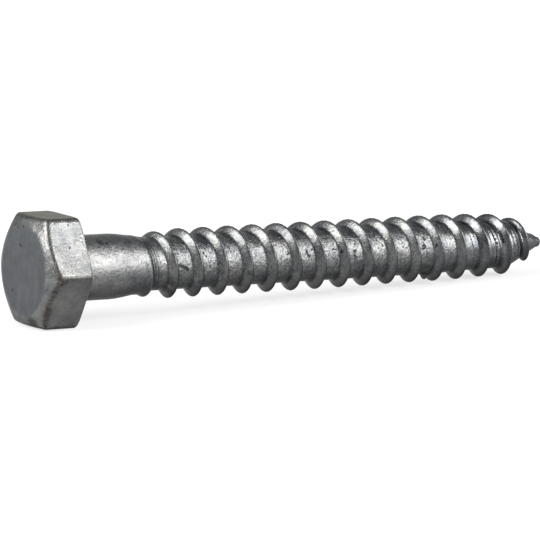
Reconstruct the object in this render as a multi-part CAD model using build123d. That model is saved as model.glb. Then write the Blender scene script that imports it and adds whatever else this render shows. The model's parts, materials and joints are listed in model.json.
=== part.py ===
from build123d import *
import os
from math import atan2, cos, degrees, pi, radians, sin, tan

# Hexagon head wood screw (lag or coach screw), M12 by 100, hot-dip galvanised, right-hand thread.
# It is forged and rolled from one blank, so it is one solid. Sizes are in millimetres and degrees.
# It is modelled upright, point up, with the bearing face of its head at zero, and then laid down.

# Head
across_flats = 18.9
head_height = 7.6
crown_flat_diameter = 15.6   # the flat circle on top of the head
crown_angle = 26.0           # slope of the chamfer round that flat
crown_round = 0.6            # soft step from the flat to the chamfer
corner_round = 0.35          # zinc fills and softens the six corners

# Shank
shank_diameter = 11.44
shank_length = 9.2           # plain stretch under the head
underhead_chamfer = 0.4      # meets the bearing face at 45 degrees
neck_length = 7.6            # over this length the shank draws down to the core

# Thread
pitch = 5.0
thread_diameter = 11.96
core_diameter = 9.26
flank_angle = 64.0           # between the two flanks of a ridge
crest_width = 0.5
run_in_delay = 3.6           # from the end of the plain shank to where the ridge first rises
run_in_length = 8.2          # over this length the ridge grows to its full height
ridge_clock = -123.4         # where the ridge would cross the bearing face, round the axis

# Point
length = 99.1                # bearing face to the end of the point
lead_length = 14.6           # before the cone, where the crest and the core narrow a little
lead_crest_drop = 0.45       # how much the crest's radius loses there
lead_core_drop = 0.25        # how much the core's radius loses there
cone_length = 7.1
ridge_fade_length = 2.2      # at the cone's end the ridge sinks away over this length
ridge_stop = 0.3             # bare cone past the ridge
nose_length = 0.8            # blunt end, where zinc has gathered
nose_radius = 0.9

# How the ridge is laid on the core
root_depth = 0.3             # how far the ridge reaches into the core
ridge_step = 0.1             # the ridge starts and ends this high
profiles_per_turn = 12

# Stations along the axis, from the bearing face
neck_end = shank_length + neck_length
ridge_start = shank_length + run_in_delay
cone_end = length - nose_length
cone_start = cone_end - cone_length
lead_start = cone_start - lead_length
ridge_end = cone_end - ridge_stop

# The turned outline between the shank and the nose, as (distance from the bearing face, radius)
outline = [
    (shank_length, shank_diameter / 2),
    (neck_end, core_diameter / 2),
    (lead_start, core_diameter / 2),
    (cone_start, core_diameter / 2 - lead_core_drop),
    (cone_end, nose_radius),
]


def core_radius(along):
    """Radius of the turned outline, level past either of its ends."""
    for (start, first), (end, last) in zip(outline, outline[1:]):
        if along < end:
            return first + (last - first) * max((along - start) / (end - start), 0.0)
    return nose_radius


def ridge_height(along):
    """How far the crest stands above the core: it rises out of the neck and sinks at the cone's end."""
    height = (thread_diameter - core_diameter) / 2
    height -= (lead_crest_drop - lead_core_drop) * min(max((along - lead_start) / lead_length, 0.0), 1.0)
    risen = sin(pi / 2 * min((along - ridge_start) / run_in_length, 1.0))
    left = sin(pi / 2 * min((ridge_end - along) / ridge_fade_length, 1.0))
    return ridge_step + (height - ridge_step) * risen * left


def ridge_profile(along):
    """Outline of the ridge in the half-plane through the axis that it has reached at this height."""
    clock = radians(ridge_clock) + 2 * pi * along / pitch
    top = ridge_height(along)
    crest_half = crest_width / 2
    base_half = crest_half + (top + root_depth) * tan(radians(flank_angle / 2))

    def spot(offset, height):
        radius = core_radius(along + offset) + height
        return Vector(radius * cos(clock), radius * sin(clock), along + offset)

    near_side = [spot(-base_half, -root_depth), spot(-crest_half, top)]
    far_side = [spot(crest_half, top), spot(base_half, -root_depth)]
    return Wire.make_polygon(near_side + far_side)


def ridge_turns():
    """The helical ridge turn by turn, each drawn through profiles that climb round the axis."""
    count = round((ridge_end - ridge_start) / pitch * profiles_per_turn)
    profiles = [ridge_profile(ridge_start + (ridge_end - ridge_start) * i / count) for i in range(count + 1)]
    span = profiles_per_turn + 1
    return [Solid.make_loft(profiles[first:first + span]) for first in range(0, count, profiles_per_turn)]


def turned_body():
    """Everything but the head and the ridge, as one turned shape: shank, neck, core, cone and nose."""
    shank_radius = shank_diameter / 2
    flare = shank_radius + underhead_chamfer
    nose_ball = (nose_radius ** 2 + nose_length ** 2) / (2 * nose_length)
    with BuildPart() as part:
        with BuildSketch(Plane.XZ):
            with BuildLine():
                Polyline((0, length), (0, 0), (flare, 0), (shank_radius, underhead_chamfer),
                         *[(radius, along) for along, radius in outline])
                RadiusArc((nose_radius, cone_end), (0, length), -nose_ball)
            make_face()
        revolve(axis=Axis.Z)
    return part.part


def crown():
    """Turned shape that trims the hexagon: a flat top, a soft step and the chamfer."""
    flat = crown_flat_diameter / 2
    rim = across_flats
    slope = (rim - flat) * tan(radians(crown_angle))
    with BuildPart() as part:
        with BuildSketch(Plane.XZ) as outline:
            with BuildLine():
                Polyline((0, 0), (0, -head_height), (flat, -head_height), (rim, slope - head_height),
                         (rim, slope), (0, slope), (0, 0))
            make_face()
            step = outline.vertices().sort_by_distance((flat, -head_height))[0]
            fillet(step, crown_round)
        revolve(axis=Axis.Z)
    return part.part


def head():
    """Forged hexagon with softened corners, trimmed by the crown. Two of its flats face up and down."""
    with BuildPart() as part:
        with BuildSketch(Plane.XY.offset(-head_height)):
            RegularPolygon(across_flats / 2, 6, major_radius=False)
        extrude(amount=head_height)
        fillet(part.edges().filter_by(Axis.Z), corner_round)
        add(crown(), mode=Mode.INTERSECT)
    return part.part


def rest_angle():
    """Tilt of the axis when the screw lies on one flat of its head and on its thread."""
    turns = range(int(length / pitch) + 1)
    lowest_crests = [pitch * (turn - (ridge_clock + 90) / 360) for turn in turns]
    tilts = []
    for along in lowest_crests:
        if ridge_start + run_in_length < along < ridge_end:
            drop = across_flats / 2 - core_radius(along) - ridge_height(along)
            tilts.append(atan2(drop, along))
    return degrees(min(tilts))


def whole_screw():
    """Head, turned body and ridge as one solid, laid along X with its point lower than its head.

    It stands on the floor at the middle of its box. The head and the turned body reach that box on their own.
    """
    tilt = radians(rest_angle())
    lie = Plane(origin=(0, 0, 0), x_dir=(0, 1, 0), z_dir=(cos(tilt), 0, -sin(tilt))).location
    blank = head() + turned_body()
    box = (lie * blank).bounding_box()
    screw = blank.fuse(*ridge_turns())
    return Location((-box.center().X, -box.center().Y, -box.min.Z)) * (lie * screw)


lag_screw = whole_screw()
lag_screw.label = "lag_screw"
os.makedirs("parts", exist_ok=True)
export_step(lag_screw, "parts/lag_screw.step")
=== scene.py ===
import json
from math import atan2, cos, degrees, floor, hypot, pi, radians, sin, sqrt, tan
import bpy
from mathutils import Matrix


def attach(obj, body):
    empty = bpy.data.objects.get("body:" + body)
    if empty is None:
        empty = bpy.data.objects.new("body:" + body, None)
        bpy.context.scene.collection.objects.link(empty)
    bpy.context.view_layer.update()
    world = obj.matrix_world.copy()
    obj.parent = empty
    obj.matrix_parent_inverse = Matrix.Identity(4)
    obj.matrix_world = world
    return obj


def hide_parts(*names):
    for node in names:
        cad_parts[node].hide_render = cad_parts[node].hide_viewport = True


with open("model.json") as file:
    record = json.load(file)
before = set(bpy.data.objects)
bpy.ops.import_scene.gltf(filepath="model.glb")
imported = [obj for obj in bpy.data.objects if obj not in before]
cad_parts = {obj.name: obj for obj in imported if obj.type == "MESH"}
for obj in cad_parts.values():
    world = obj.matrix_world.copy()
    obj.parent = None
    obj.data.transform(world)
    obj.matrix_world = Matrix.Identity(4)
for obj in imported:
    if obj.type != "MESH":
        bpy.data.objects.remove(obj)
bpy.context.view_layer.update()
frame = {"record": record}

from types import SimpleNamespace

import bpy
from mathutils import Matrix, Vector

# Hexagon head wood screw, hot-dip galvanised. Shapes are in millimetres in the screw's own axes: along the
# axis from the bearing face of the head (0) to the point, across, and up. "turn" is the angle round the axis
# from across towards up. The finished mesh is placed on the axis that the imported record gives.

MM = 0.001
tiny, weld = 0.0001, 0.0005

# Head
across_flats = 18.9
head_height = 7.64
crown_flat = 7.9          # radius of the flat circle on top
crown_soft = 0.5          # the step from that flat to the chamfer is rounded over this distance
crown_slope = tan(radians(24.0))
corner_round = 0.9        # radius of the six corners
edge_round = 0.7          # the edge between chamfer and side is rounded over this distance
foot_round = 0.4          # so is the bearing edge, in the middle of a flat
corner_foot_round = 0.95  # and at a corner
foot_lip = 0.2            # the side of the head ends this far past the bearing face's middle
corner_draw = 0.72        # how strongly the lines of the mesh are drawn to the corners

# Shank and core. The lines hold radii by the distance along the axis: of the core, and over the crests.
shank_radius = 5.68
bar_length = 98.3
point_length = 99.15
neck_from, neck_to = 8.13, 17.83       # the shank draws down to the core between these
core_line = [(0, 4.626), (77, 4.626), (80, 4.373), (84, 4.397), (88, 4.326), (91, 4.346), (93.5, 3.196),
             (95.5, 2.228), (98.3, 0.85)]
crest_line = [(0, 5.987), (76, 5.987), (80, 5.957), (84, 5.82), (88, 5.612), (91, 5.496), (93.5, 4.378),
              (95.5, 3.183), (98.3, 2.0)]
line_ease = 0.7           # kinks in the two lines are rounded over this distance each way

# Thread
pitch = 5.0
ridge_clock = -123.4      # where the ridge would cross the bearing face, round the axis
crest_half = 0.17
near_foot, far_foot = 1.13, 0.87       # how far the feet of a ridge lie from its middle
near_tighten = 0.38                    # on the last turns the near foot lies this much closer
tighten_from, tighten_to = 84, 90
far_gather = 0.33                      # zinc gathers on the underside and moves the far foot outward
low_gather = 0.15                      # and there it adds this much to the crests near the head
gather_from, gather_to = 48, 72        # beyond this it adds nothing
foot_soft, crest_round = 0.06, 0.33    # how far the bends reach, as shares of the flank
grow_from, grow_to = 11.03, 21.06      # the ridge rises
fade_from, fade_to = 96.1, 98.46       # and sinks at the cone's end

# Low shoulder where the ridge leaves the shank
shoulder_height = 0.3
shoulder_rise, shoulder_fall = (12.9, 14.2), (15.8, 17.4)
shoulder_inner, shoulder_outer = 0.1, 1.4

# Drop of zinc that hangs between two ridges
drip_at, drip_turn = 73.5, radians(260)
drip_reach, drip_height = 0.62, 0.95

# Blank
steps_round = 144
bar_parts = 6             # the bar is drawn in parts, because an edge takes no more than 100 cuts
bar_cuts = 89
top_cuts, crown_cuts, side_cuts, seat_cuts, point_cuts = 14, 15, 25, 14, 8
rim = 10.4                # radius of the blank's head
blank_crown = 1.0         # height of the blank's chamfer

# How the blank's lines are shared out over the head's soft bends and straight runs
soft_step, chamfer = 0.4, 0.8          # on the crown: the step ends here, then the chamfer
upper_bend, straight_side = 0.12, 0.84
foot_bend = 0.25                       # on the bearing face


def smooth(low, high, value):
    t = min(max((value - low) / (high - low), 0.0), 1.0)
    return t * t * (3 - 2 * t)


def on_line(line, along):
    if along <= line[0][0]:
        return line[0][1]
    for (start, first), (end, last) in zip(line, line[1:]):
        if along <= end:
            return first + (last - first) * (along - start) / (end - start)
    return line[-1][1]


def eased(line, along):
    """The line's value with its kinks rounded off."""
    spots = (-1, -0.6, -0.25, 0, 0.25, 0.6, 1)
    return sum(on_line(line, along + line_ease * spot) for spot in spots) / len(spots)


def seated():
    """The screw's place and axes: the middle of its bearing face, then along, across and up."""
    mounts = {mount["name"]: mount for mount in frame["record"]["mounts"]}
    along = Vector(mounts["shank"]["axis"]).normalized()
    on_axis, on_seat = Vector(mounts["shank"]["pos_m"]), Vector(mounts["seat"]["pos_m"])
    seat = on_axis + along * (on_seat - on_axis).dot(along)
    return seat, along, Vector((0, 1, 0)), Vector((-along.z, 0, along.x))


seat, axis, across, up = seated()


def in_world(along, side, rise):
    return seat + (axis * along + across * side + up * rise) * MM


# ---------------------------------------------------------------- blank

def only(mesh, wanted):
    """Selects the vertices that are wanted, and nothing else."""
    bpy.ops.object.mode_set(mode="OBJECT")
    for part in (mesh.polygons, mesh.edges, mesh.vertices):
        part.foreach_set("select", [False] * len(part))
    for vertex in mesh.vertices:
        vertex.select = wanted(vertex.co)
    bpy.ops.object.mode_set(mode="EDIT")


def turned_blank():
    """A headed bar, turned from its outline: an edge line drawn corner by corner, divided and spun."""
    bpy.ops.object.select_all(action="DESELECT")
    bpy.ops.mesh.primitive_plane_add(size=1, location=(0, 0, 0))
    blank = bpy.context.object
    blank.name = "lag_screw_zinc"
    mesh = blank.data
    mesh.name = "lag_screw_zinc"
    corners = [(-head_height, 0), (-head_height, crown_flat), (-head_height + blank_crown, rim), (0, rim)]
    corners += [(bar_length * part / bar_parts, shank_radius) for part in range(bar_parts + 1)]
    corners += [(bar_length, 0)]
    bpy.ops.object.mode_set(mode="EDIT")
    bpy.ops.mesh.select_mode(type="VERT")
    bpy.ops.mesh.merge(type="CENTER")
    bpy.ops.transform.translate(value=(*corners[0], 0))
    for before, after in zip(corners, corners[1:]):
        step = (after[0] - before[0], after[1] - before[1], 0)
        bpy.ops.mesh.extrude_region_move(TRANSFORM_OT_translate={"value": step})
    cuts = [top_cuts, crown_cuts, side_cuts, seat_cuts] + [bar_cuts] * bar_parts + [point_cuts]
    for start, end, count in zip(corners, corners[1:], cuts):
        ends = [Vector((*start, 0)), Vector((*end, 0))]
        only(mesh, lambda co: min((co - spot).length for spot in ends) < tiny)
        bpy.ops.mesh.subdivide(number_cuts=count)
    bpy.ops.mesh.select_all(action="SELECT")
    bpy.ops.mesh.spin(steps=steps_round, angle=2 * pi, center=(0, 0, 0), axis=(1, 0, 0))
    bpy.ops.mesh.select_all(action="SELECT")
    bpy.ops.mesh.remove_doubles(threshold=weld)
    bpy.ops.mesh.normals_make_consistent(inside=False)
    bpy.ops.object.mode_set(mode="OBJECT")
    return blank


# ---------------------------------------------------------------- pressing the head

def from_middle(turn):
    """Angle in degrees from the middle of the nearest flat of the head, between -30 and 30."""
    return degrees(turn) % 60 - 30


def hexagon(turn):
    """Distance from the axis to the side of the head, its corners rounded."""
    flat = across_flats / 2
    off = radians(from_middle(turn))
    edge = radians(30) - abs(off)
    middle = (flat - corner_round) / cos(radians(30))
    if edge < atan2(corner_round * sin(radians(30)), middle + corner_round * cos(radians(30))):
        return middle * cos(edge) + sqrt(max(corner_round ** 2 - (middle * sin(edge)) ** 2, 0))
    return flat / cos(off)


def gathered(turn, share):
    """Draws the lines of the mesh together at the six corners."""
    sector = floor(degrees(turn) / 60)
    off = (degrees(turn) / 60 - sector) * 2 - 1
    pulled = (1 - corner_draw) * off + corner_draw * sin(pi / 2 * off)
    return radians((sector + (off + (pulled - off) * share + 1) / 2) * 60)


def rounded_foot(side):
    """How far the bearing edge is rounded where the side of the head is this far from the axis."""
    flat = across_flats / 2
    stretch = 1 / cos(radians(30)) - 1
    cornerness = (side - flat) / ((flat - corner_round) * stretch)
    return foot_round + (corner_foot_round - foot_round) * min(max(cornerness, 0), 1) ** 3


def head_edge(side):
    """Where the crown's chamfer meets the side of the head, as a distance along the axis."""
    return -head_height + (side - crown_flat) * crown_slope


def on_run(start, end, share):
    return (start[0] + (end[0] - start[0]) * share, start[1] + (end[1] - start[1]) * share)


def towards(start, end, distance):
    return on_run(start, end, distance / hypot(end[0] - start[0], end[1] - start[1]))


def on_bend(start, corner, end, share):
    """Point on a soft bend: start and end lie on the two straight runs, corner is where they meet."""
    a, b, c = (1 - share) ** 2, 2 * share * (1 - share), share ** 2
    return (a * start[0] + b * corner[0] + c * end[0], a * start[1] + b * corner[1] + c * end[1])


def pressed(co):
    """Place in the half-plane, and turn, of a vertex of the blank's head once it is pressed to the hexagon."""
    radius = hypot(co.y, co.z)
    turn = atan2(co.z, co.y) % (2 * pi)
    if co.x < -head_height + tiny and radius <= crown_flat + tiny:
        share = radius / crown_flat
        return (-head_height, share * (crown_flat - crown_soft)), gathered(turn, share ** 2)

    over_seat = (rim - radius) / (rim - shank_radius) if co.x >= -tiny else 0.0
    turn = gathered(turn, 1 - over_seat)
    side = hexagon(turn)
    top, flat_end = (-head_height, 0.0), (-head_height, crown_flat)
    edge, foot = (head_edge(side), side), (foot_lip, side)
    step_end = towards(flat_end, edge, crown_soft)
    above, below = towards(edge, flat_end, edge_round), towards(edge, foot, edge_round)
    foot_start, foot_end = [towards(foot, end, rounded_foot(side)) for end in (edge, (0.0, 0.0))]

    crown_end = -head_height + blank_crown
    if co.x < crown_end - tiny or (co.x < crown_end + tiny and radius < rim - tiny):
        share = (radius - crown_flat) / (rim - crown_flat)
        if share < soft_step:
            step_start = towards(flat_end, top, crown_soft)
            return on_bend(step_start, flat_end, step_end, share / soft_step), turn
        if share < chamfer:
            return on_run(step_end, above, (share - soft_step) / (chamfer - soft_step)), turn
        return on_bend(above, edge, below, (share - chamfer) / (1 - chamfer) / 2), turn
    if co.x < -tiny:
        share = (co.x - crown_end) / -crown_end
        if share < upper_bend:
            return on_bend(above, edge, below, (1 + share / upper_bend) / 2), turn
        if share < straight_side:
            return on_run(below, foot_start, (share - upper_bend) / (straight_side - upper_bend)), turn
        return on_bend(foot_start, foot, foot_end, (share - straight_side) / (1 - straight_side) / 2), turn
    if over_seat < foot_bend:
        return on_bend(foot_start, foot, foot_end, (1 + over_seat / foot_bend) / 2), turn
    return on_run(foot_end, (0.0, shank_radius), (over_seat - foot_bend) / (1 - foot_bend)), turn


def head_distances(place, turn):
    """Distances from the crown's edge (less than 0 on the crown), the nearest corner and the bearing edge."""
    along, out = place
    side = hexagon(turn)
    past_edge = along - head_edge(side)
    crown_edge = hypot(past_edge, out - side)
    if past_edge < out - side:
        crown_edge = -crown_edge
    to_corner = radians(30 - abs(from_middle(turn)))
    return crown_edge, out * sin(to_corner) + max(side - out, 0), hypot(along - foot_lip, out - side)


# ---------------------------------------------------------------- rolling the thread

def ridge_share(along, offset, turn):
    """Share of a ridge's height at this distance from its crest: straight flanks with a soft foot and crest."""
    if offset < 0:
        foot = near_foot - near_tighten * smooth(tighten_from, tighten_to, along)
    else:
        foot = far_foot + far_gather * max(-sin(turn), 0)
    t = (foot - abs(offset)) / (foot - crest_half)
    if t < -foot_soft:
        return 0.0
    if t < foot_soft:
        return (t + foot_soft) ** 2 / (4 * foot_soft)
    if t < 1 - crest_round:
        return t
    return 1 - max(1 + crest_round - t, 0) ** 2 / (4 * crest_round)


def shoulder(offset, crest_at):
    height = shoulder_height * smooth(*shoulder_rise, crest_at) * (1 - smooth(*shoulder_fall, crest_at))
    return height * (1 - smooth(shoulder_inner, shoulder_outer, max(offset, -offset / 2)))


def rolled(along, turn):
    """Radius of the rolled bar, how much of it is ridge, from 0 to 1, and the distance past the crest."""
    gather = low_gather * max(-sin(turn), 0) * (1 - smooth(gather_from, gather_to, along))
    crest = eased(crest_line, along) + gather
    core = shank_radius + (eased(core_line, along) - shank_radius) * smooth(neck_from, neck_to, along)
    turns_past = along / pitch - (turn - radians(ridge_clock)) / (2 * pi)
    offset = ((turns_past + 0.5) % 1 - 0.5) * pitch
    ridge = ridge_share(along, offset, turn)
    ridge *= smooth(grow_from, grow_to, along) * (1 - smooth(fade_from, fade_to, along))
    near_drip = hypot(along - drip_at, (turn - drip_turn) * core) / drip_reach
    drip = drip_height * sqrt(max(1 - near_drip ** 2, 0))
    rolled_up = max(crest - core, 0) * ridge + shoulder(offset, along - offset)
    return core + max(rolled_up, drip), ridge, offset


def shaped(blank):
    """Presses the head and rolls the thread, and notes for the finish where each vertex lies."""
    mesh = blank.data
    off_head = (9, 9, 9)      # far from every edge of the head
    places, helix, head = [], [], []
    for vertex in mesh.vertices:
        co = vertex.co
        radius = hypot(co.y, co.z)
        turn = atan2(co.z, co.y) % (2 * pi)
        near, ridge, offset = off_head, 0.0, 0.0
        if co.x < -tiny or (co.x <= tiny and radius > shank_radius + tiny):
            (along, out), turn = pressed(co)
            near = head_distances((along, out), turn)
        elif radius < shank_radius - 10 * tiny:
            swing = (1 - radius / shank_radius) * pi / 2
            along = bar_length + (point_length - bar_length) * sin(swing)
            end, ridge, offset = rolled(bar_length, turn)
            out = end * cos(swing)
        else:
            along = co.x
            out, ridge, offset = rolled(along, turn)
        places += [along, out, ridge]
        helix += [offset, along - offset, turn]
        head += near
        vertex.co = (along, out * cos(turn), out * sin(turn))
    for name, numbers in (("place", places), ("helix", helix), ("head", head)):
        mesh.attributes.new(name, "FLOAT_VECTOR", "POINT").data.foreach_set("vector", numbers)
    mesh.update()


def laid_down(blank):
    """Scales the mesh to metres and lays it on the screw's axis."""
    turned = Matrix((axis, across, up)).transposed().to_4x4()
    blank.matrix_world = Matrix.Translation(seat) @ turned @ Matrix.Scale(MM, 4)
    bpy.ops.object.select_all(action="DESELECT")
    blank.select_set(True)
    bpy.context.view_layer.objects.active = blank
    bpy.ops.object.transform_apply(location=True, rotation=True, scale=True)


# ---------------------------------------------------------------- materials

class Value:
    """A number that changes over the surface, with the arithmetic that is used on it."""

    def __init__(self, paint, socket):
        self.paint = paint
        self.socket = socket

    def _with(self, operation, *others):
        return self.paint.node("ShaderNodeMath", {"operation": operation}, self, *others)

    def __add__(self, other): return self._with("ADD", other)
    def __radd__(self, other): return self._with("ADD", other)
    def __sub__(self, other): return self._with("SUBTRACT", other)
    def __rsub__(self, other): return self.paint.node("ShaderNodeMath", {"operation": "SUBTRACT"}, other, self)
    def __mul__(self, other): return self._with("MULTIPLY", other)
    def __rmul__(self, other): return self._with("MULTIPLY", other)
    def __abs__(self): return self._with("ABSOLUTE")

    def wave(self):
        return self._with("SINE")

    def largest(self, other):
        return self._with("MAXIMUM", other)

    def smallest(self, other):
        return self._with("MINIMUM", other)

    def above(self, low, high):
        """0 below low, 1 above high, and smooth in between."""
        settings = {"interpolation_type": "SMOOTHSTEP"}
        return self.paint.node("ShaderNodeMapRange", settings, self, low, high, 0.0, 1.0)

    def below(self, low, high):
        """1 below low, 0 above high, and smooth in between."""
        return 1 - self.above(low, high)

    def within(self, rise, fall):
        """Rises from 0 to 1 over the first span and falls back over the second."""
        return self.above(*rise) * self.below(*fall)


class Paint:
    """One material's nodes."""

    def __init__(self, name):
        self.material = bpy.data.materials.new(name)
        self.material.use_nodes = True
        self.tree = self.material.node_tree
        self.tree.nodes.clear()
        self.out = self.tree.nodes.new("ShaderNodeOutputMaterial")

    def plug(self, socket, value):
        if isinstance(value, Value):
            self.tree.links.new(value.socket, socket)
        else:
            socket.default_value = value

    def node(self, kind, settings, *values, pick=None, **named):
        """Adds a node: its settings, then its sockets in order or by name. pick names the outputs wanted."""
        made = self.tree.nodes.new(kind)
        for key, value in settings.items():
            setattr(made, key, value)
        live = [socket for socket in made.inputs if socket.enabled]
        for socket, value in zip(live, values):
            self.plug(socket, value)
        for name, value in named.items():
            self.plug(made.inputs[name.replace("_", " ")], value)
        if pick is None:
            return Value(self, next(socket for socket in made.outputs if socket.enabled))
        if isinstance(pick, str):
            return Value(self, made.outputs[pick])
        return [Value(self, made.outputs[name]) for name in pick]

    def split(self, vector):
        return self.node("ShaderNodeSeparateXYZ", {}, vector, pick=("X", "Y", "Z"))

    def noted(self, name):
        """The three numbers that the mesh holds under this name."""
        return self.split(self.node("ShaderNodeAttribute", {"attribute_name": name}, pick="Vector"))

    def mix(self, factor, first, second):
        return self.node("ShaderNodeMix", {"data_type": "RGBA"}, factor, first, second)

    def finished(self, shader):
        self.plug(self.out.inputs["Surface"], shader)
        return self.material


# ---------------------------------------------------------------- zinc

# Zinc itself, and zinc on the top of the head, which is smoother and bluer
dull_zinc, bright_zinc = (0.082, 0.088, 0.097, 1), (0.262, 0.26, 0.253, 1)
dull_face, bright_face = (0.088, 0.093, 0.101, 1), (0.132, 0.14, 0.152, 1)
metal_tint = (0.6, 0.6, 0.6, 1)

# Where one look gives way to the next, in millimetres along the axis
face_ends, head_ends = (-7.3, -6.9), (-0.4, -0.05)
thread_starts, roots_start = (13.0, 17.0), (15.0, 19.0)
thin_turns_start, last_turns_start = (73.0, 80.0), (86.0, 90.0)
rolling_starts, rolling_ends = (80.0, 86.0), (94.0, 96.0)
point_starts = (95.0, 97.0)

# Single marks. On the bar: distance along the axis, turn in degrees, reach.
notch = [(87.85, 141.5, 0.26), (87.9, 147, 0.32), (88, 154, 0.36), (88.1, 160, 0.34), (88.2, 166.5, 0.28),
         (86.7, 159, 0.2), (86.9, 168.5, 0.2)]
bar_gouges = [(20.5, 176.5, 0.3), (21, 180.5, 0.3), (21.5, 184, 0.32), (22.05, 187.5, 0.28),
              (20.25, 152, 0.15), (20.95, 148, 0.15), (25.4, 153.5, 0.18), (25.8, 160.5, 0.16),
              (46.3, 165, 0.3), (46.6, 173, 0.25), (56.3, 168.5, 0.3), (56.25, 179, 0.25),
              (53.2, 168.5, 0.35), (71.3, 150.5, 0.3), (70.95, 167.5, 0.38), (73.2, 167, 0.35)] + notch
# The film at 19.4 mm, turn 237, darkens the bottom of a ridge: painted shade.
bar_dark_films_and_shade = [(18.9, 213, 0.8), (18.75, 203, 0.5), (24.25, 209, 0.35), (34.05, 197.5, 0.6),
                  (5.35, 125.5, 0.7), (6.5, 127.5, 0.4), (19.4, 237, 1), (73.5, 255, 1)]

# On the head: distance along the axis, distance out from it, turn in degrees, reach.
head_gouges = [(-7.64, 4.64, 71, 0.3), (-7.64, 4.32, 75, 0.28), (-7.64, 7.6, 87, 0.25),
               (-7.64, 7.6, 71.5, 0.25), (-7.64, 5.28, 315, 0.2), (-2.53, 10.39, 125.5, 0.14),
               (-3.27, 9.45, 149, 0.14)]
# The second film darkens the crown's lower side: painted shade.
head_dark_films_and_shade = [(-7.03, 9.28, 118, 1), (-7.1, 9, 252, 1.3)]
head_brown_films = [(-5.8, 10.4, 184.5, 0.6), (-5.2, 10.5, 183.5, 0.5), (-6.93, 9.5, 216, 0.6),
                    (-6.51, 10.43, 235, 0.4), (-6.7, 9.83, 194, 0.5)]


def on_surface(along, out, turn):
    """Place of a mark in millimetres, from its place along and out from the axis and its turn in degrees."""
    return in_world(along, out * cos(radians(turn)), out * sin(radians(turn))) / MM


def on_bar(along, turn):
    """Place of a mark on the bar, which gives its distance out from the axis."""
    return on_surface(along, rolled(along, radians(turn))[0], turn)


def zinc_pattern(paint):
    """Where each point lies on the screw, and noise in four sizes."""
    z = SimpleNamespace(paint=paint)
    spot = paint.node("ShaderNodeTexCoord", {}, pick="Object")
    z.at = paint.node("ShaderNodeMapping", {}, spot, Scale=(1 / MM, 1 / MM, 1 / MM))
    z.along, z.out, z.ridge = paint.noted("place")
    z.offset, z.crest_at, z.turn = paint.noted("helix")
    z.crown_edge, z.corner, z.bearing_edge = paint.noted("head")
    z.facing_up = paint.split(paint.node("ShaderNodeNewGeometry", {}, pick="Normal"))[2]

    def speckle(scale, detail, rough, key):
        return paint.node("ShaderNodeTexNoise", {"noise_dimensions": "4D"}, Vector=z.at, W=key, Scale=scale,
                          Detail=detail, Roughness=rough)

    z.clouds = speckle(0.3, 3, 0.55, 1.0)
    z.patches = speckle(0.9, 4, 0.6, 5.0)
    z.grain = speckle(2.3, 5, 0.7, 2.0)
    z.fine = speckle(6.0, 3, 0.65, 3.0)
    z.where_pitted = speckle(0.8, 2, 0.5, 7.0).above(0.48, 0.6)
    combed = paint.node("ShaderNodeMapping", {}, z.at, Scale=(1, 1, 0.15))
    z.streaks = paint.node("ShaderNodeTexNoise", {}, Vector=combed, Scale=0.8, Detail=3, Roughness=0.6)
    z.wander = (z.patches - 0.5) * 2.5 + (z.grain - 0.5) * 1.5
    z.ragged = (z.grain - 0.5) * 1.2 + (z.fine - 0.5) * 0.5
    return z


def zinc_zones(z):
    """Parts of the screw, each 1 inside and 0 outside."""
    z.head = z.along.below(*head_ends)
    z.bar = 1 - z.head
    z.face = (z.out + z.wander * 0.25).below(7.4, 8.0) * z.along.below(*face_ends)
    z.crown = (z.crown_edge + z.wander * 0.1).below(-0.3, 0.0) * z.head * (1 - z.face)
    z.sides = z.head * (1 - z.crown) * (1 - z.face)
    z.near_flat = z.sides * z.turn.within((2.05, 2.15), (3.1, 3.2))
    z.top_film = z.facing_up.above(0.93, 0.99) * z.head
    # Painted shade: every surface that faces down is darkened.
    z.beneath = z.facing_up.below(-0.9, 0.0)
    z.shank = z.bar * z.along.below(*thread_starts)
    z.root = z.bar * z.ridge.below(0.1, 0.5) * z.along.above(*roots_start)
    z.late = z.along.above(*thin_turns_start)
    z.point = z.along.above(*point_starts)


def drained_edges(z):
    """Dark lines where the zinc has drained off the edges of the head, with flux stains along them."""
    line = (abs(z.crown_edge) + z.wander * 0.3).below(0.0, 0.25)
    line = line * (1 - 0.75 * z.facing_up.above(0.5, 0.8))
    corners = (z.corner + z.wander * 0.4).below(0.1, 0.7) * z.crown_edge.above(-0.2, 0.3)
    corners = corners * (1 - 0.7 * z.facing_up.above(0.6, 0.75))
    foot_line = (z.bearing_edge + z.wander * 0.3).below(0.0, 0.4)
    fuzz = (abs(z.crown_edge).smallest(z.corner) + z.wander * 0.5).below(0.2, 1.0) * z.grain.above(0.44, 0.56)
    z.drained = line.largest(corners * 0.9).largest(foot_line * 0.7).largest(fuzz * 0.5) * z.head
    low_side = z.turn.within((2.95, 3.15), (4.15, 4.4))
    stain = (abs(z.crown_edge - 0.1) + z.wander * 0.6).below(0.15, 1.0) * z.grain.above(0.38, 0.55)
    z.stain = stain * (0.25 + 0.75 * low_side) * z.head


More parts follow.
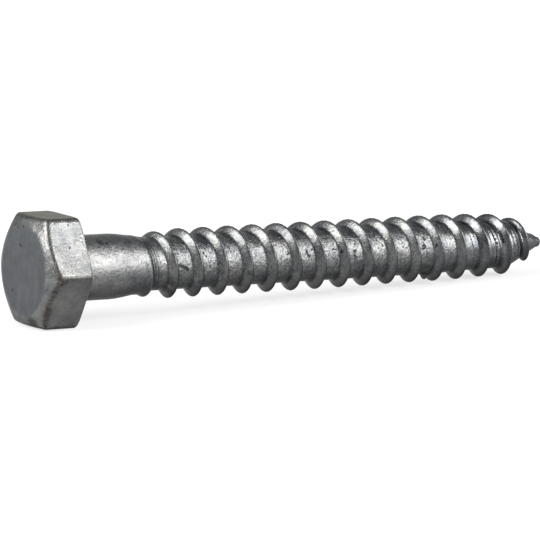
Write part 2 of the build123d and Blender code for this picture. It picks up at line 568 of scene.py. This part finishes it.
def thread_shades(z):
    """Rolling lines beside the first ridge and on the last turns, and painted shade there, on the lower crests
    and at the near feet.
    """
    past_crest = z.offset.within((0.3, 0.6), (2.0, 2.4)) * z.bar
    # Rolling lines in the band beside the first ridge; in the colour the whole band is painted darker as shade.
    z.start_lines = z.crest_at.within((12.0, 14.0), (16.5, 18.0)) * past_crest
    z.end_lines = z.along.within(rolling_starts, rolling_ends)
    fine_waves = (z.offset * 11.0 + z.patches * 2.0).wave()
    broad_waves = (z.offset * 6.0 + z.patches * 0.8).wave()
    z.rolling = fine_waves * z.start_lines + broad_waves * z.end_lines
    # Painted shade: the crests are darker from the near side round under to the far side.
    low_crest = z.ridge.above(0.3, 0.8) * z.turn.above(2.35, 2.8)
    z.crest_shade = low_crest * (0.26 + 0.28 * z.offset.above(-0.4, 0.0))
    # Painted shade in the crease at the near foot of each ridge, weaker on the last turns.
    near_foot_line = z.offset.within((-1.5, -1.2), (-1.1, -0.95)) * z.along.above(*thread_starts)
    z.foot_shade = near_foot_line * (0.62 - 0.4 * z.along.above(*last_turns_start))


def pits_and_lumps(z):
    def cells(scale, key):
        return z.paint.node("ShaderNodeTexVoronoi", {"voronoi_dimensions": "4D"}, Vector=z.at, W=key,
                            Scale=scale)

    z.pits = cells(1.1, 4.0).below(0.12, 0.25) * z.where_pitted
    z.lumps = cells(2.0, 8.0).below(0.1, 0.5) * z.patches.above(0.48, 0.6)
    z.specks = z.fine.below(0.33, 0.46)


def marked(z, bar_marks, head_marks):
    """1 on the single marks, each with a ragged border, and 0 elsewhere."""
    marks = [(on_bar(*place), reach) for *place, reach in bar_marks]
    marks += [(on_surface(*place), reach) for *place, reach in head_marks]
    whole = 0.0
    for spot, reach in marks:
        distance = z.paint.node("ShaderNodeVectorMath", {"operation": "DISTANCE"}, z.at, tuple(spot),
                                pick="Value")
        on_mark = (distance + z.ragged * sqrt(reach)).below(reach * 0.5, reach * 1.3)
        whole = on_mark.largest(whole)
    return whole


def single_marks(z):
    z.gouged = marked(z, bar_gouges, head_gouges)
    z.darkened = marked(z, bar_dark_films_and_shade, head_dark_films_and_shade)
    z.browned = marked(z, [], head_brown_films)


def zinc_colour(z):
    """Half bright, half dull zinc, a smoother top of the head, and over them the films, lines, marks and
    painted light and shade.
    """
    mix = z.paint.mix
    contrast = 1.6 + z.root * 1.6 + z.crown - z.sides * 0.9 - z.late * 1.2
    tone = 0.5 + (z.clouds - 0.5) * 1.4 + (z.patches - 0.5) + (z.grain - 0.5) * contrast
    # Painted highlight: the shank is lighter next to the head and darker towards the neck.
    # Painted shade: the head's upper near flat is darker than the other sides.
    tone = tone + z.shank * (0.18 - 0.25 * z.along.above(5.0, 11.0)) + z.sides * 0.06 - z.near_flat * 0.16
    tone = tone - z.root * 0.13 - z.late * 0.15 - z.point * 0.25
    zinc = mix(tone, dull_zinc, bright_zinc)
    # Painted light: the round face on top of the head is lighter towards its upper part.
    painted_light_by_height = z.paint.split(z.at)[2].above(7.0, 19.0)
    face_tone = 0.58 + (z.clouds - 0.5) * 1.2 + (z.patches - 0.5) * 0.8 + (z.streaks - 0.5) * 0.9
    face_tone = face_tone + painted_light_by_height * 0.35
    face_zinc = mix(face_tone, dull_face, bright_face)

    speckled = 0.7 - z.face * 0.5 - z.sides * 0.3 - z.ridge * 0.3 - z.late * 0.2
    pitted = z.pits * (0.35 + z.root * 0.5 - z.late * 0.45)
    coats = [
        # painted shade on the upper near flat, darkest at its lower edge
        (z.near_flat * z.turn.above(2.2, 3.1) * 0.35, (0.09, 0.088, 0.082, 1)),
        (z.face * 0.88, face_zinc),
        (z.specks * speckled, (0.05, 0.05, 0.052, 1)),
        (z.top_film * 0.9, (0.172, 0.159, 0.122, 1)),
        (z.drained * 0.72, (0.04, 0.037, 0.033, 1)),
        (z.stain * 0.75, (0.056, 0.046, 0.035, 1)),
        # painted shade over the band beside the first ridge
        (z.start_lines * 0.45, (0.05, 0.052, 0.055, 1)),
        # painted shade on the lower crests
        (z.crest_shade, (0.03, 0.031, 0.033, 1)),
        # painted shade at the near feet of the ridges
        (z.foot_shade, (0.03, 0.031, 0.034, 1)),
        (z.rolling * z.end_lines * -0.3, (0.04, 0.04, 0.042, 1)),
        (pitted.largest(z.gouged * 0.85), (0.028, 0.028, 0.03, 1)),
        # dark films; two of them are painted shade on lower sides
        (z.darkened * 0.6, (0.03, 0.03, 0.032, 1)),
        (z.browned * (0.2 + z.grain.above(0.44, 0.56) * 0.65), (0.046, 0.039, 0.031, 1)),
        # painted shade on surfaces facing down, a little more on the ridges
        (z.beneath * (0.75 + 0.15 * z.ridge), (0.012, 0.012, 0.013, 1)),
    ]
    for amount, coat in coats:
        zinc = mix(amount, zinc, coat)
    return zinc


def zinc_relief(z):
    """Height of the coat in millimetres."""
    rough_zones = 0.6 + 0.5 * z.crown - 0.4 * z.face - 0.3 * z.ridge - 0.35 * z.point
    rough_zones = rough_zones - 0.2 * z.sides - 0.35 * z.late - 0.25 * z.top_film
    rugged = z.root * (1 - z.late * 0.75)
    height = (z.clouds - 0.5) * 0.25
    height = height + (z.grain - 0.5) * 0.19 * rough_zones + (z.fine - 0.5) * 0.05 * rough_zones
    height = height + (z.patches - 0.5) * rugged * 0.1 + z.rolling * 0.03 + z.lumps * rugged * 0.1
    return height - z.pits * (0.03 + rugged * 0.15) - z.gouged * 0.15 - z.drained * 0.04


def zinc():
    paint = Paint("galvanised_zinc")
    z = zinc_pattern(paint)
    for add in (zinc_zones, drained_edges, thread_shades, pits_and_lumps, single_marks):
        add(z)
    colour = zinc_colour(z)
    bump = paint.node("ShaderNodeBump", {}, Strength=1.0, Distance=MM, Height=zinc_relief(z))
    roughness = 0.2 + 0.16 * z.grain + 0.16 * z.face + 0.12 * z.top_film
    shader = paint.node("ShaderNodeBsdfPrincipled", {}, Base_Color=colour, Metallic=1.0,
                        Specular_Tint=metal_tint, Roughness=roughness, Normal=bump)
    return paint.finished(shader)


# ---------------------------------------------------------------- the screw

screw = turned_blank()
shaped(screw)
laid_down(screw)
bpy.ops.object.shade_smooth()
screw.data.materials.append(zinc())
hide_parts("lag_screw")
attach(screw, "root")


# ---------------------------------------------------------------- studio

# Lamps: name, direction from the screw, distance in metres, width and height, strength. The key light is a
# tall soft box in front and to the right, from just above the floor to half way up.
lamps = [
    ("soft_box", (0.47, -0.735, 0.47), 1.0, (0.42, 0.75), 12.6),
    ("upper_left", (-0.78, 0.12, 0.6), 1.2, (0.78, 0.74), 9.2),
    ("left_fill", (-0.88, 0.4, 0.27), 1.2, (0.4, 0.33), 5.0),
    ("back_fill", (-0.45, 0.85, 0.29), 1.2, (0.6, 0.45), 0.6),
    ("rear_fill", (0.53, 0.83, 0.2), 1.2, (1.0, 0.42), 0.8),
    ("point_fill", (0.95, -0.15, 0.27), 1.2, (0.55, 0.5), 2.6),
    ("low_fill", (0.52, -0.84, 0.12), 1.2, (0.9, 0.3), 3.6),
]
lamp_colour = (1.0, 0.99, 0.965)
lamp_aim = Vector((0, 0, 0.01))
sky_colour, sky_strength = (0.93, 0.97, 1.0, 1), 0.52
floor_side = 40           # metres


def soft_box(name, direction, distance, size, strength):
    at = Vector(direction).normalized() * distance
    bpy.ops.object.light_add(type="AREA", location=at)
    lamp = bpy.context.object
    lamp.name = name
    lamp.data.shape = "RECTANGLE"
    lamp.data.size, lamp.data.size_y = size
    lamp.data.energy = strength * pi * size[0] * size[1]
    lamp.data.color = lamp_colour
    lamp.rotation_euler = (lamp_aim - at).to_track_quat("-Z", "Y").to_euler()


def studio_world():
    world = bpy.data.worlds.new("studio")
    bpy.context.scene.world = world
    world.use_nodes = True
    back = world.node_tree.nodes["Background"]
    back.inputs["Color"].default_value = sky_colour
    back.inputs["Strength"].default_value = sky_strength


def white_floor():
    """White where it is seen, also in the metal, with the screw's shadow on it."""
    paint = Paint("white_floor")
    rays = ("Is Camera Ray", "Is Glossy Ray", "Is Transmission Ray")
    camera_ray, glossy, through = paint.node("ShaderNodeLightPath", {}, pick=rays)
    seen = camera_ray.largest(glossy).largest(through)
    matt = paint.node("ShaderNodeBsdfDiffuse", {}, Color=(0.9, 0.9, 0.9, 1))
    glow = paint.node("ShaderNodeEmission", {}, Color=(1, 1, 1, 1), Strength=1.0)
    return paint.finished(paint.node("ShaderNodeMixShader", {}, seen * 0.7, matt, glow))


studio_world()
bpy.ops.mesh.primitive_plane_add(size=floor_side, location=(0, 0, 0))
ground = bpy.context.object
ground.name = "studio_floor"
ground.data.materials.append(white_floor())
for lamp in lamps:
    soft_box(*lamp)


# ---------------------------------------------------------------- camera

# In the screw's own axes: it looks at a place near the middle, over the head and along to the point
camera_aim = (41.523, 0, -2.307)
camera_distance = 744.9
camera_heading = radians(58.3143)       # from along towards across
camera_dip, camera_roll = radians(8.2743), radians(1.6807)
lens, sensor = 282.293, 36


def camera():
    heading, dip, roll = camera_heading, camera_dip, camera_roll
    forward = Vector((cos(dip) * cos(heading), cos(dip) * sin(heading), -sin(dip)))
    level = Vector((sin(heading), -cos(heading), 0))
    right = level * cos(roll) + level.cross(forward) * sin(roll)
    rise = right.cross(forward)
    own = Matrix((axis, across, up)).transposed()
    turned = (own @ Matrix((right, rise, -forward)).transposed()).to_4x4()
    data = bpy.data.cameras.new("camera")
    made = bpy.data.objects.new("camera", data)
    bpy.context.scene.collection.objects.link(made)
    data.sensor_width, data.lens = sensor, lens
    data.clip_start, data.clip_end = 0.01, 50
    spot = Vector(camera_aim) - forward * camera_distance
    made.matrix_world = Matrix.Translation(in_world(*spot)) @ turned
    bpy.context.scene.camera = made


camera()
bpy.context.scene.view_settings.view_transform = "Standard"
